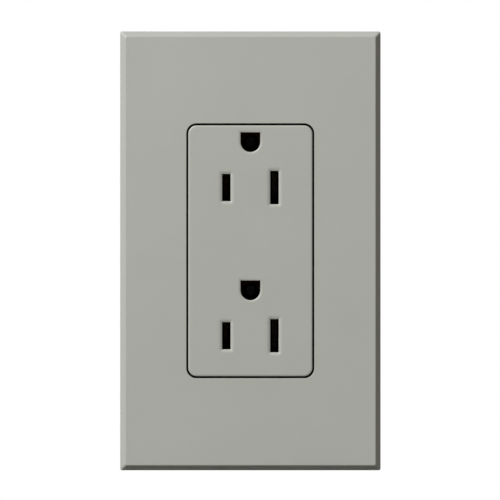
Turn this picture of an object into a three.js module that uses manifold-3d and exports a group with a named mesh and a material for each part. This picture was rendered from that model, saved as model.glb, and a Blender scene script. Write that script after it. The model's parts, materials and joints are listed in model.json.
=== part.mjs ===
// Duplex wall outlet: a decorator-style 15 A receptacle with a screwless, bevelled wall plate.
//
// Millimetres, +Z up. The wall surface is the plane y = 0: the room is towards -Y and the wall box
// towards +Y. The origin is midway between the two box screws, on the wall surface. Seen from the
// room, the hot side is at -X and the neutral side at +X, and each socket has its ground hole on top.

import * as THREE from "three";
import { mergeVertices } from "three/addons/utils/BufferGeometryUtils.js";
import Module from "manifold-3d";

const wasm = await Module();
wasm.setup();

// ---------------------------------------------------------------- driving dimensions

const GAP = 0.3; // clearance kept between touching pieces
const SLIP = 1; // how far a cutter runs past the face that it cuts

// Wall plate: a shallow bevelled tray with a rounded window.
const PLATE = { width: 68.7, height: 115.8, depth: 7.6, bevel: 1.4, front: 2.2, wall: 2, corner: 0.5 };
const WINDOW = { width: 33.75, height: 67.25, corner: 2.65, collar: 1.2, collarDepth: 1.8 };

// Socket layout on the face: the flat blades lie below the ground pin.
const BLADE_X = 6.35;
const GROUND_RISE = 11.98; // from the blades' centre line up to the ground pin's axis
const SOCKETS = [
  { name: "upper", bladeZ: 16.7 },
  { name: "lower", bladeZ: -22.4 },
];
const SIDES = [
  { name: "hot", sign: -1, slotHeight: 7.2 },
  { name: "neutral", sign: 1, slotHeight: 8.8 },
];
const SLOT_WIDTH = 2.25;
const GROUND_HOLE = { width: 5.24, flatRise: 2.62 };

// Receptacle body: the face stands in the window, its shoulders and the rear housing lie in the box.
const FACE = { width: 32.75, height: 66.2, corner: 2.2, front: -7.9, wall: 2.5, side: 1.8 };
const LEDGE = { out: 0.9, front: -3.3, back: -1.5 }; // closes the view past the face, behind the plate
const BODY = { width: 42, height: 66.4, corner: 1.6, shoulder: 0.4, seam: 6, back: 22, wall: 1.8 };
const FLANGE = { height: 70, thickness: 2 }; // lips above and below the body, split by the strap
const BACK_CHAMFER = 0.8;
const INNER_WALL_X = 13.3; // inner face of the wall behind each side pocket
const BOSS_RADIUS = 3.2; // posts round the assembly screws
const SLOT_GUIDE_WALL = 1; // wall of the sleeves behind the slots and ground holes

// Mounting strap: one steel ribbon wrapped round the body, with an ear above and one below it.
const STRAP = { thickness: 1.2, width: 16, bend: 1.4, earWidth: 19, length: 106.4 };
const BOX_SCREW_Z = 41.65; // 83.3 mm between the box screws
const PLATE_SCREW_Z = 48.4; // 96.8 mm between the adapter's screws
const BOX_FIXING = { travel: 1.5, slotWidth: 7.4, slotHeight: 4.2 }; // the box screws slide to level it
const EAR = { inner: 37, corner: 2 }; // the narrow part of an ear, from the leg's bend to the end
const PLASTER_EAR = { width: 34, height: 9.6, z: 46.5, corner: 4.4, holeX: 13.2, holeRadius: 2 };

// Wire terminals: a brass land, a clamp plate and a binding screw in each side pocket.
const TERMINAL = { y: 10.5, z: 11, landX: 16, landThickness: 1, pocketX: 14.7, reach: 13.2 };
const POCKET = { front: 3.5, back: 18.1, near: 3.4, far: 19, endWall: 1.6 };
const TAB_WINDOW = { front: 6.5, back: 13.5 }; // joins the two pockets of a side behind the tab
const TAB = { front: 8, back: 13, halfHeight: 2.4, neckFront: 9.4, neckBack: 11.6, neckEnd: 2 };
const CLAMP = { thickness: 1.4, depth: 11.8, height: 12.4, clip: 1.6 };
const WIRE_HOLE = { radius: 1.8, offset: 4.7, x: 17.6 };
const SCREW_CLEARANCE = 2.4; // radius of the holes that the terminal screws pass through

// Grounding: a folded lug with its own clamp below the body.
const LUG = { x: -8, front: 3, back: 15, end: -45.2, screwY: 9, screwZ: -40.2 };
const GROUND_CLAMP = { depth: 10, height: 9.4 };

// Contacts: brass leaves that grip the blades, and bronze clips for the ground pins.
const LEAF = { thickness: 0.7, mouth: -1, web: 17, webThickness: 0.8, root: 1.5, waist: 0.95, lip: 2.1 };
const WEB_HALF_HEIGHT = 4; // the web behind one pair of blade grips
const GROUND_CLIP = { thickness: 0.6, mouth: 0.6, base: 21.1, halfHeight: 2.65, halfGap: 2.3 };
const GROUND_FOOT = { halfWidth: 4.5, below: 4 };

// Fasteners: radius and height of the head, radius of the shank and its length under the head.
const TERMINAL_SCREW = { head: 3.8, headHeight: 2, shank: 2.08, length: 6 };
const GROUND_SCREW = { ...TERMINAL_SCREW, length: 6.2 };
const BOX_SCREW = { head: 3.4, headHeight: 2.1, shank: 1.75, length: 20.6 };
const ADAPTER_SCREW = { head: 3.3, headHeight: 1.6, shank: 1.75, length: 8 };
const ASSEMBLY_SCREW = { head: 2.9, headHeight: 1.7, shank: 1.5, length: 24.6 };
const ASSEMBLY_SCREW_Z = [8.5, -29.5];
const RIVET_SHANK = 1.25;
const RETAINER = { width: 9.5, thickness: 1, corner: 0.8 }; // square fibre washers on the box screws
const GROUNDING_CLIP = { width: 8, height: 8.6, thickness: 0.6 };

// Adapter frame: it is screwed to the strap, and the wall plate snaps over it.
const ADAPTER = { front: -3.1, back: -1.5, rim: 1.4, rimBack: -0.3, play: 0.4, windowPlay: 2.1 };
const SNAP = { x: 18, width: 8, bite: 0.8, front: -2.4, back: -1.2, slit: 0.8, slitLength: 3.5 };
const HEAD_NOTCH = [30, 45.4]; // lets a box screw's head through, and ends short of the plate screw

// ---------------------------------------------------------------- materials

const plastic = (color) => new THREE.MeshStandardMaterial({ color, roughness: 0.5, metalness: 0 });
const metal = (color, roughness) => new THREE.MeshStandardMaterial({ color, roughness, metalness: 1 });
const MATERIALS = {
  greyPlastic: plastic(0xa7a8a1),
  darkPlastic: plastic(0x2b2c2d),
  fibre: plastic(0xb8a27c),
  steel: metal(0xb9bcbf, 0.38),
  brass: metal(0xc9a24e, 0.32),
  bronze: metal(0xb4793f, 0.35),
  nickel: metal(0xc4c1b8, 0.28),
  green: metal(0x2f7d45, 0.4),
};

// ---------------------------------------------------------------- solids from three.js geometry

/** A closed geometry as a solid: shared vertices are merged and collapsed faces dropped. */
function solid(geometry) {
  const bare = geometry.clone();
  bare.deleteAttribute("normal");
  bare.deleteAttribute("uv");
  const merged = mergeVertices(bare, 1e-4);
  const corners = merged.index.array;
  const faces = [];
  for (let i = 0; i < corners.length; i += 3) {
    const [a, b, c] = corners.slice(i, i + 3);
    if (a !== b && b !== c && a !== c) faces.push(a, b, c);
  }
  const vertProperties = new Float32Array(merged.attributes.position.array);
  const triVerts = new Uint32Array(faces);
  return new wasm.Manifold(new wasm.Mesh({ numProp: 3, vertProperties, triVerts }));
}

/** A solid as a geometry that three.js can show. */
function geometryOf(made) {
  const { vertProperties, triVerts } = made.getMesh();
  const geometry = new THREE.BufferGeometry();
  geometry.setAttribute("position", new THREE.BufferAttribute(vertProperties, 3));
  geometry.setIndex(new THREE.BufferAttribute(triVerts, 1));
  const flat = geometry.toNonIndexed();
  flat.computeVertexNormals();
  return flat;
}

function box(x0, x1, y0, y1, z0, z1) {
  const size = [x1 - x0, y1 - y0, z1 - z0].map(Math.abs);
  const geometry = new THREE.BoxGeometry(...size);
  return solid(geometry.translate((x0 + x1) / 2, (y0 + y1) / 2, (z0 + z1) / 2));
}

/** Extrudes a shape drawn in (x, z) from y0 to y1. */
function prismY(shape, y0, y1, curveSegments = 4) {
  const geometry = new THREE.ExtrudeGeometry(shape, { depth: y1 - y0, bevelEnabled: false, curveSegments });
  return solid(geometry.rotateX(Math.PI / 2).translate(0, y1, 0));
}

/** Extrudes a shape drawn in (y, z) from x0 to x1. */
function prismX(shape, x0, x1, curveSegments = 4) {
  const geometry = new THREE.ExtrudeGeometry(shape, { depth: x1 - x0, bevelEnabled: false, curveSegments });
  const turn = new THREE.Matrix4().makeBasis(
    new THREE.Vector3(0, 1, 0),
    new THREE.Vector3(0, 0, 1),
    new THREE.Vector3(1, 0, 0),
  );
  return solid(geometry.applyMatrix4(turn).translate(x0, 0, 0));
}

/** Extrudes a shape drawn in (x, y) from z0 to z1. */
function prismZ(shape, z0, z1) {
  const geometry = new THREE.ExtrudeGeometry(shape, { depth: z1 - z0, bevelEnabled: false });
  return solid(geometry.translate(0, 0, z0));
}

/** A rod along Y at (x, z). */
function rodY(radius, y0, y1, x, z, sides = 16) {
  const geometry = new THREE.CylinderGeometry(radius, radius, y1 - y0, sides);
  return solid(geometry.translate(x, (y0 + y1) / 2, z));
}

/** A rod along X at (y, z). */
function rodX(radius, x0, x1, y, z, sides = 16) {
  const geometry = new THREE.CylinderGeometry(radius, radius, Math.abs(x1 - x0), sides);
  return solid(geometry.rotateZ(-Math.PI / 2).translate((x0 + x1) / 2, y, z));
}

/** The outline of a rectangle with rounded corners, centred at (x, z). */
function roundedRectangle(width, height, radius, x = 0, z = 0) {
  const right = x + width / 2 - radius;
  const left = x - width / 2 + radius;
  const top = z + height / 2 - radius;
  const bottom = z - height / 2 + radius;
  const shape = new THREE.Shape();
  shape.absarc(right, top, radius, 0, Math.PI / 2);
  shape.absarc(left, top, radius, Math.PI / 2, Math.PI);
  shape.absarc(left, bottom, radius, Math.PI, 1.5 * Math.PI);
  shape.absarc(right, bottom, radius, 1.5 * Math.PI, 2 * Math.PI);
  shape.closePath();
  return shape;
}

/** A block along Y whose rounded outline changes from level to level, given from the back forwards. */
function loftY(levels, curveSegments = 2) {
  const rings = levels.map(({ y, width, height, corner }) =>
    roundedRectangle(width, height, corner)
      .getPoints(curveSegments)
      .slice(0, -1)
      .map((p) => new THREE.Vector3(p.x, y, p.y)),
  );
  const count = rings[0].length;
  const points = rings.flat();
  const faces = [];
  for (let ring = 0; ring + 1 < rings.length; ring += 1) {
    for (let i = 0; i < count; i += 1) {
      const a = ring * count + i;
      const b = ring * count + ((i + 1) % count);
      faces.push(a, b, b + count, a, b + count, a + count);
    }
  }
  const last = points.length - count;
  for (let i = 1; i + 1 < count; i += 1) {
    faces.push(0, i + 1, i);
    faces.push(last, last + i, last + i + 1);
  }
  const geometry = new THREE.BufferGeometry().setFromPoints(points);
  geometry.setIndex(faces);
  return solid(geometry);
}

/** A polyline with its inner corners rounded to a radius. */
function roundedPath(points, radius, steps = 3) {
  const made = [points[0]];
  for (let i = 1; i + 1 < points.length; i += 1) {
    const back = points[i - 1].clone().sub(points[i]).normalize();
    const ahead = points[i + 1].clone().sub(points[i]).normalize();
    const half = back.angleTo(ahead) / 2;
    const reach = radius / Math.tan(half);
    const start = points[i].clone().addScaledVector(back, reach);
    const end = points[i].clone().addScaledVector(ahead, reach);
    const arc = new THREE.QuadraticBezierCurve(start, points[i], end);
    made.push(...arc.getPoints(steps));
  }
  made.push(points[points.length - 1]);
  return made;
}

/** The outline of a bent sheet of the given thickness whose middle follows a polyline. */
function ribbon(points, thickness) {
  const side = (sign) =>
    points.map((point, i) => {
      const before = points[Math.max(i - 1, 0)];
      const after = points[Math.min(i + 1, points.length - 1)];
      const into = (i > 0 ? point.clone().sub(before) : after.clone().sub(point)).normalize();
      const out = (after === point ? into : after.clone().sub(point)).clone().normalize();
      const tangent = into.clone().add(out).normalize();
      const stretch = 1 / tangent.dot(into);
      const normal = new THREE.Vector2(-tangent.y, tangent.x);
      return point.clone().addScaledVector(normal, (sign * stretch * thickness) / 2);
    });
  return new THREE.Shape([...side(1), ...side(-1).reverse()]);
}

const v2 = (x, y) => new THREE.Vector2(x, y);
const join = (...solids) => solids.reduce((all, next) => all.add(next));
const cut = (from, ...tools) => tools.reduce((left, tool) => left.subtract(tool), from);
const mirrored = (make) => [make(-1), make(1)];

// ---------------------------------------------------------------- wall plate and its adapter

function wallPlate() {
  const { width, height, depth, bevel, front, wall, corner } = PLATE;
  const outer = loftY([
    { y: 0, width, height, corner },
    { y: bevel - depth, width, height, corner },
    { y: -depth, width: width - 2 * bevel, height: height - 2 * bevel, corner },
  ]);
  const inside = roundedRectangle(width - 2 * wall, height - 2 * wall, corner);
  const window = roundedRectangle(WINDOW.width, WINDOW.height, WINDOW.corner);
  const { collar, collarDepth } = WINDOW;
  const collarOutline = roundedRectangle(
    WINDOW.width + 2 * collar,
    WINDOW.height + 2 * collar,
    WINDOW.corner + collar,
  );
  const innerFace = front - depth;
  const tray = cut(outer, prismY(inside, innerFace, SLIP));
  const catches = mirrored((up) =>
    join(
      ...mirrored((side) => {
        const x = side * SNAP.x;
        const wallZ = up * (height / 2 - wall);
        const z = [wallZ - up * SNAP.bite, wallZ + (up * wall) / 2];
        return box(x - SNAP.width / 2, x + SNAP.width / 2, SNAP.front, SNAP.back, ...z);
      }),
    ),
  );
  const windowCollar = prismY(collarOutline, innerFace - front / 2, innerFace + collarDepth);
  return cut(join(tray, windowCollar, ...catches), prismY(window, -depth - SLIP, 0));
}

function plateAdapter() {
  const { front, back, rim, rimBack, play, windowPlay } = ADAPTER;
  const width = PLATE.width - 2 * (PLATE.wall + play);
  const height = PLATE.height - 2 * (PLATE.wall + play);
  const outline = roundedRectangle(width, height, PLATE.corner);
  const within = roundedRectangle(width - 2 * rim, height - 2 * rim, PLATE.corner);
  const window = roundedRectangle(WINDOW.width + windowPlay, WINDOW.height + windowPlay, WINDOW.corner);
  const ribInner = WINDOW.collar + GAP;
  const ribOuter = ribInner + WINDOW.collar;
  const ringOutline = (grow) =>
    roundedRectangle(WINDOW.width + 2 * grow, WINDOW.height + 2 * grow, WINDOW.corner + grow);
  const rib = cut(
    prismY(ringOutline(ribOuter), front - WINDOW.collar, front + GAP),
    prismY(ringOutline(ribInner), front - WINDOW.collar - SLIP, front + SLIP),
  );
  const frame = join(cut(prismY(outline, front, rimBack), prismY(within, back, SLIP)), rib);
  const notches = mirrored((up) => {
    const half = BOX_SCREW.head + BOX_FIXING.travel + GAP;
    return box(-half, half, front - 2 * SLIP, SLIP, ...HEAD_NOTCH.map((z) => up * z));
  });
  const holeRadius = ADAPTER_SCREW.shank + GAP;
  const screwHoles = mirrored((up) => rodY(holeRadius, front - 3 * SLIP, SLIP, 0, up * PLATE_SCREW_Z));
  const tongue = SNAP.width / 2 + 0.5;
  const edge = height / 2;
  const reliefs = [-1, 1].flatMap((up) =>
    [-1, 1].flatMap((side) => {
      const x = side * SNAP.x;
      const recess = [up * (edge - SNAP.bite + 0.1), up * (edge + SLIP)];
      const slitZ = [up * (edge - SNAP.slitLength), up * (edge + SLIP)];
      const slit = (at) => box(at, at + SNAP.slit, front - SLIP, SLIP, ...slitZ);
      return [
        box(x - tongue, x + tongue, front - SLIP, SLIP, ...recess),
        slit(x - tongue - SNAP.slit),
        slit(x + tongue),
      ];
    }),
  );
  return cut(frame, prismY(window, front - SLIP, SLIP), ...notches, ...screwHoles, ...reliefs);
}

// ---------------------------------------------------------------- receptacle body

/** The room inside the body, kept clear of the side pockets. */
function interior(y0, y1) {
  const half = BODY.height / 2 - BODY.wall;
  const middle = box(-INNER_WALL_X, INNER_WALL_X, y0, y1, -half, half);
  const outerX = BODY.width / 2 - BODY.wall;
  const ends = mirrored((up) => box(-outerX, outerX, y0, y1, up * (POCKET.far + POCKET.endWall), up * half));
  return join(middle, ...ends);
}

/** The pockets in both sides for the terminals, and the window for each break-off tab between them. */
function sidePockets() {
  const outside = BODY.width / 2 + SLIP;
  return SIDES.flatMap(({ sign }) => {
    const x = [sign * TERMINAL.pocketX, sign * outside];
    const y = [POCKET.front, POCKET.back];
    const pockets = mirrored((up) => box(...x, ...y, up * POCKET.near, up * POCKET.far));
    const between = [-POCKET.near - SLIP, POCKET.near + SLIP];
    return [...pockets, box(...x, TAB_WINDOW.front, TAB_WINDOW.back, ...between)];
  });
}

function groundHoleShape(z, grow = 0) {
  const radius = GROUND_HOLE.width / 2 + grow;
  const shape = new THREE.Shape();
  shape.moveTo(radius, z + GROUND_HOLE.flatRise + grow);
  shape.lineTo(-radius, z + GROUND_HOLE.flatRise + grow);
  shape.absarc(0, z, radius, Math.PI, 2 * Math.PI);
  shape.closePath();
  return shape;
}

/** The room for one flat blade, grown on all four sides. */
function bladeSlot(sign, bladeZ, slotHeight, grow, y0, y1) {
  const x = sign * BLADE_X;
  const halfWidth = SLOT_WIDTH / 2 + grow;
  const halfHeight = slotHeight / 2 + grow;
  return box(x - halfWidth, x + halfWidth, y0, y1, bladeZ - halfHeight, bladeZ + halfHeight);
}

function faceCover() {
  const { width, height, corner, front, wall, side } = FACE;
  const face = prismY(roundedRectangle(width, height, corner), front, BODY.shoulder + SLIP);
  const ledgeOutline = roundedRectangle(width + 2 * LEDGE.out, height + 2 * LEDGE.out, corner + LEDGE.out);
  const ledge = prismY(ledgeOutline, LEDGE.front, LEDGE.back);
  const shoulder = prismY(roundedRectangle(BODY.width, BODY.height, BODY.corner), BODY.shoulder, BODY.seam);
  const flangeBack = BODY.shoulder + FLANGE.thickness;
  const flange = prismY(roundedRectangle(BODY.width, FLANGE.height, BODY.corner), BODY.shoulder, flangeBack);
  const strapWay = mirrored((up) => {
    const half = STRAP.width / 2 + GAP;
    const z = [(up * BODY.height) / 2, (up * (FLANGE.height + SLIP)) / 2];
    return box(-half, half, front, BODY.seam, ...z);
  });
  const hollow = box(
    side - width / 2,
    width / 2 - side,
    front + wall,
    BODY.shoulder + 2 * SLIP,
    side - height / 2,
    height / 2 - side,
  );
  const shell = cut(
    join(face, ledge, shoulder, cut(flange, ...strapWay)),
    hollow,
    interior(BODY.shoulder + BODY.wall, BODY.seam + SLIP),
    ...sidePockets(),
  );
  const inner = front + wall;
  const guides = [];
  const holes = [];
  for (const { bladeZ } of SOCKETS) {
    const groundZ = bladeZ + GROUND_RISE;
    for (const { sign, slotHeight } of SIDES) {
      guides.push(bladeSlot(sign, bladeZ, slotHeight, SLOT_GUIDE_WALL, inner - SLIP, LEAF.mouth - 0.5));
      holes.push(bladeSlot(sign, bladeZ, slotHeight, 0, front - SLIP, SLIP));
    }
    const sleeve = groundHoleShape(groundZ, SLOT_GUIDE_WALL);
    guides.push(prismY(sleeve, inner - SLIP, GROUND_CLIP.mouth - 0.6));
    holes.push(prismY(groundHoleShape(groundZ), front - SLIP, 2 * SLIP));
  }
  const bosses = ASSEMBLY_SCREW_Z.map((z) => rodY(BOSS_RADIUS, inner - SLIP, BODY.seam - GAP, 0, z));
  const bores = ASSEMBLY_SCREW_Z.map((z) => rodY(ASSEMBLY_SCREW.shank + GAP, -2, BODY.seam + SLIP, 0, z));
  const middle = box(-10, 10, front, BODY.seam, -height / 2, height / 2);
  const fittings = join(...guides, ...bosses).intersect(middle);
  return cut(shell.add(fittings), ...holes, ...bores);
}

function rearHousing() {
  const { width, height, corner, seam, back, wall } = BODY;
  const start = seam + GAP;
  const block = loftY([
    { y: back, width: width - 2 * BACK_CHAMFER, height: height - 2 * BACK_CHAMFER, corner },
    { y: back - BACK_CHAMFER, width, height, corner },
    { y: start, width, height, corner },
  ]);
  const floor = back - wall;
  const shell = cut(block, interior(start - SLIP, floor), ...sidePockets());
  const posts = ASSEMBLY_SCREW_Z.map((z) => rodY(BOSS_RADIUS, start, floor + SLIP, 0, z));
  const boreRadius = ASSEMBLY_SCREW.shank + GAP;
  const bores = ASSEMBLY_SCREW_Z.map((z) => rodY(boreRadius, start - SLIP, back + SLIP, 0, z));
  const wireHoles = SIDES.flatMap(({ sign }) =>
    [-1, 1].flatMap((up) =>
      [-1, 1].map((step) => {
        const z = up * TERMINAL.z + step * WIRE_HOLE.offset;
        return rodY(WIRE_HOLE.radius, POCKET.back - SLIP, back + SLIP, sign * WIRE_HOLE.x, z);
      }),
    ),
  );
  const screwHoles = SIDES.flatMap(({ sign }) =>
    mirrored((up) =>
      rodX(SCREW_CLEARANCE, sign * 12, sign * (TERMINAL.pocketX + SLIP), TERMINAL.y, up * TERMINAL.z),
    ),
  );
  const webSlots = SIDES.flatMap(({ sign }) => mirrored((up) => webSlot(sign, up)));
  const baseWindows = SOCKETS.map(({ bladeZ }) => {
    const z = bladeZ + GROUND_RISE;
    return groundBase(z, GAP, floor - SLIP, back + SLIP);
  });
  return cut(join(shell, ...posts), ...bores, ...wireHoles, ...screwHoles, ...webSlots, ...baseWindows);
}

// ---------------------------------------------------------------- contacts

const WEB_EDGE = { near: TERMINAL.z + 2, far: TERMINAL.z + TERMINAL.reach / 2 };

/** The slot in a pocket's inner wall that a contact strip's web drops into from the front. */
function webSlot(sign, up) {
  const x = [sign * 12, sign * (TERMINAL.pocketX + SLIP)];
  const y = [BODY.seam, LEAF.web + LEAF.webThickness + GAP];
  return box(...x, ...y, up * (WEB_EDGE.near - GAP), up * (WEB_EDGE.far + GAP));
}

/** The flat webs that join one side's terminal lands to its blade grips. */
function webs(sign) {
  const y = [LEAF.web, LEAF.web + LEAF.webThickness];
  const plate = (x0, x1, z0, z1) => box(sign * x0, sign * x1, ...y, z0, z1);
  const [upper, lower] = SOCKETS.map(({ bladeZ }) => bladeZ);
  return [
    plate(12, TERMINAL.landX, WEB_EDGE.near, WEB_EDGE.far),
    plate(4, 13, upper - WEB_HALF_HEIGHT, upper + WEB_HALF_HEIGHT),
    plate(9, TERMINAL.landX, -WEB_EDGE.far, -WEB_EDGE.near),
    plate(4, 11, lower - WEB_HALF_HEIGHT, -WEB_EDGE.near),
  ];
}

/** One side's contact strip: two terminal lands, the break-off tab between them and two blade grips. */
function contactStrip({ sign, slotHeight }) {
  const { y, z, landX, landThickness, reach } = TERMINAL;
  const x = [sign * (landX - landThickness), sign * landX];
  const landFront = y - 6.1;
  const landBack = LEAF.web + LEAF.webThickness;
  const lands = mirrored((up) => box(...x, landFront, landBack, up * (z - reach / 2), up * (z + reach / 2)));
  const tab = box(...x, TAB.front, TAB.back, -TAB.halfHeight, TAB.halfHeight);
  const necks = mirrored((up) => {
    const neckZ = [up * TAB.neckEnd, up * (z - reach / 2 + SLIP)];
    return box(...x, TAB.neckFront, TAB.neckBack, ...neckZ);
  });
  const grips = SOCKETS.flatMap(({ bladeZ }) =>
    [-1, 1].map((leaf) => {
      const at = (offset, depth) => v2(sign * BLADE_X + leaf * offset, depth);
      const line = [
        at(LEAF.root, LEAF.web + LEAF.webThickness / 2),
        at(LEAF.root, 9),
        at(LEAF.waist, 2.6),
        at(LEAF.lip, LEAF.mouth),
      ];
      const half = slotHeight / 2 - GAP;
      return prismZ(ribbon(line, LEAF.thickness), bladeZ - half, bladeZ + half);
    }),
  );
  const holes = mirrored((up) => rodX(SCREW_CLEARANCE, sign * 13, sign * (landX + SLIP), y, up * z));
  return cut(join(...lands, tab, ...necks, ...webs(sign), ...grips), ...holes);
}

/** The foot of a ground clip, which lies on the strap inside a window of the rear housing. */
function groundBase(z, grow, y0, y1) {
  const halfWidth = GROUND_FOOT.halfWidth + grow;
  const bottom = z - GROUND_FOOT.below - grow;
  return box(-halfWidth, halfWidth, y0, y1, bottom, z + GROUND_CLIP.halfHeight + grow);
}

function groundContact({ bladeZ }) {
  const { thickness, mouth, base, halfHeight, halfGap } = GROUND_CLIP;
  const z = bladeZ + GROUND_RISE - 0.2;
  const middle = halfGap + thickness / 2;
  const leaves = [-1, 1].map((side) => {
    const at = (offset, depth) => v2(side * (middle + offset), depth);
    const line = [at(0.35, base + 0.4), at(0.35, 9), at(0, 4), at(0.9, mouth)];
    return prismZ(ribbon(line, thickness), z - halfHeight, z + halfHeight);
  });
  const foot = groundBase(bladeZ + GROUND_RISE, 0, base, BODY.back);
  const rivetHole = rodY(RIVET_SHANK + GAP, base - SLIP, BODY.back + SLIP, 0, bladeZ + GROUND_RISE);
  return cut(join(foot, ...leaves), rivetHole);
}

// ---------------------------------------------------------------- strap, lug and clamps

function mountingStrap() {
  const { thickness, width, bend, earWidth, length } = STRAP;
  const earY = -thickness / 2;
  const legZ = BODY.height / 2 + GAP + thickness / 2;
  const backY = BODY.back + GAP + thickness / 2;
  const line = [
    v2(earY, length / 2),
    v2(earY, legZ),
    v2(backY, legZ),
    v2(backY, -legZ),
    v2(earY, -legZ),
    v2(earY, -length / 2),
  ];
  const halfEar = PLASTER_EAR.width / 2;
  const sheet = prismX(ribbon(roundedPath(line, bend), thickness), -halfEar, halfEar);
  const earHeight = length / 2 - EAR.inner;
  const deep = [-5, BODY.back + 5];
  const blank = join(
    box(-width / 2, width / 2, ...deep, -EAR.inner - SLIP, EAR.inner + SLIP),
    ...mirrored((up) => {
      const middle = up * (EAR.inner + earHeight / 2);
      const wings = [PLASTER_EAR.width, PLASTER_EAR.height, PLASTER_EAR.corner, 0, up * PLASTER_EAR.z];
      return join(
        prismY(roundedRectangle(earWidth, earHeight, EAR.corner, 0, middle), ...deep),
        prismY(roundedRectangle(...wings), ...deep),
      );
    }),
  );
  const { x, front, back, end, screwY, screwZ } = LUG;
  const lug = join(
    box(x - thickness, x + SLIP, front, back, -legZ - thickness / 2, -legZ + thickness / 2),
    box(x - thickness, x, front, back, end, -legZ),
  );
  const { slotWidth, slotHeight } = BOX_FIXING;
  const { holeRadius, holeX, z: wingZ } = PLASTER_EAR;
  const earHoles = [-1, 1].flatMap((up) => [
    prismY(roundedRectangle(slotWidth, slotHeight, slotHeight / 2 - 0.05, 0, up * BOX_SCREW_Z), -3, 3),
    rodY(ADAPTER_SCREW.shank + GAP, -3, 3, 0, up * PLATE_SCREW_Z),
    ...mirrored((side) => rodY(holeRadius, -3, 3, side * holeX, up * wingZ, 12)),
  ]);
  const through = [BODY.back - SLIP, BODY.back + 3];
  const backHoles = [
    ...ASSEMBLY_SCREW_Z.map((z) => rodY(ASSEMBLY_SCREW.shank + GAP, ...through, 0, z)),
    ...SOCKETS.map(({ bladeZ }) => rodY(RIVET_SHANK + GAP, ...through, 0, bladeZ + GROUND_RISE)),
  ];
  const lugHole = rodX(SCREW_CLEARANCE, x - 3, x + 3, screwY, screwZ);
  return cut(join(sheet.intersect(blank), lug), ...earHoles, ...backHoles, lugHole);
}

/** A clamp plate in its own frame: it lies across X with its outer face at x = thickness. */
function clampPlate(depth, height) {
  const { thickness, clip } = CLAMP;
  const shape = new THREE.Shape([
    v2(-depth / 2 + clip, -height / 2),
    v2(depth / 2 - clip, -height / 2),
    v2(depth / 2, -height / 2 + clip),
    v2(depth / 2, height / 2 - clip),
    v2(depth / 2 - clip, height / 2),
    v2(-depth / 2 + clip, height / 2),
    v2(-depth / 2, height / 2 - clip),
    v2(-depth / 2, -height / 2 + clip),
  ]);
  return cut(prismX(shape, 0, thickness), rodX(SCREW_CLEARANCE, -SLIP, thickness + SLIP, 0, 0));
}

/** A square washer or clip leaf that holds a box screw in the strap's slot, in its own frame. */
function screwRetainer(width, height, thickness) {
  const plate = prismY(roundedRectangle(width, height, RETAINER.corner), 0, thickness, 1);
  return cut(plate, rodY(BOX_SCREW.shank + GAP, -SLIP, thickness + SLIP, 0, 0));
}

// ---------------------------------------------------------------- fasteners

/** A slotted screw in its own frame: its axis is Y, its head stands on y = 0 and its tip points to -Y. */
function screw({ head, headHeight, shank, length, sides = 16 }) {
  const profile = [
    v2(0, -length),
    v2(shank * 0.7, -length),
    v2(shank, -length + shank * 0.4),
    v2(shank, 0),
    v2(head, 0),
    v2(head, headHeight * 0.45),
    v2(head * 0.8, headHeight * 0.88),
    v2(head * 0.4, headHeight),
    v2(0, headHeight),
  ];
  const slot = box(-head, head, headHeight * 0.5, headHeight + SLIP, -0.55, 0.55);
  return cut(solid(new THREE.LatheGeometry(profile, sides)), slot);
}

/** The ground screw: a hexagon on a washer flange, slotted. */
function hexScrew({ head, headHeight, shank, length }) {
  const flange = solid(new THREE.CylinderGeometry(head * 1.06, head * 1.06, 0.7, 18).translate(0, 0.35, 0));
  const rise = headHeight - 0.35;
  const hexagonGeometry = new THREE.CylinderGeometry(head * 0.92, head * 0.92, rise, 6);
  const hexagon = solid(hexagonGeometry.translate(0, 0.35 + rise / 2, 0));
  const stem = new THREE.CylinderGeometry(shank, shank * 0.7, length + 0.2, 16);
  const slot = box(-head, head, headHeight * 0.55, headHeight + SLIP, -0.55, 0.55);
  const shaft = solid(stem.translate(0, 0.2 - (length + 0.2) / 2, 0));
  return cut(join(flange, hexagon, shaft), slot);
}

/** A rivet along Y with a head at each end, in the frame of the whole outlet. */
function rivet(z) {
  const inside = GROUND_CLIP.base - GAP;
  const outside = BODY.back + GAP + STRAP.thickness + GAP;
  const profile = [
    v2(0, inside - 0.8),
    v2(1.4, inside - 0.8),
    v2(2, inside),
    v2(RIVET_SHANK, inside),
    v2(RIVET_SHANK, outside),
    v2(2.3, outside),
    v2(1.7, outside + 0.8),
    v2(0, outside + 1),
  ];
  return solid(new THREE.LatheGeometry(profile, 16).translate(0, 0, z));
}

// ---------------------------------------------------------------- assembly

const outlet = new THREE.Group();

function place(parent, name, made, material) {
  const mesh = new THREE.Mesh(geometryOf(made), MATERIALS[material]);
  mesh.name = name;
  parent.add(mesh);
  return mesh;
}

/** A group whose own +Y points the way that a screw's head faces. */
function screwFrame(parent, direction, position) {
  const group = new THREE.Group();
  group.quaternion.setFromUnitVectors(new THREE.Vector3(0, 1, 0), direction);
  group.position.copy(position);
  parent.add(group);
  return group;
}

place(outlet, "wall_plate", wallPlate(), "greyPlastic");
place(outlet, "plate_adapter", plateAdapter(), "darkPlastic");
place(outlet, "face_cover", faceCover(), "greyPlastic");
place(outlet, "rear_housing", rearHousing(), "darkPlastic");
place(outlet, "mounting_strap", mountingStrap(), "steel");

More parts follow.
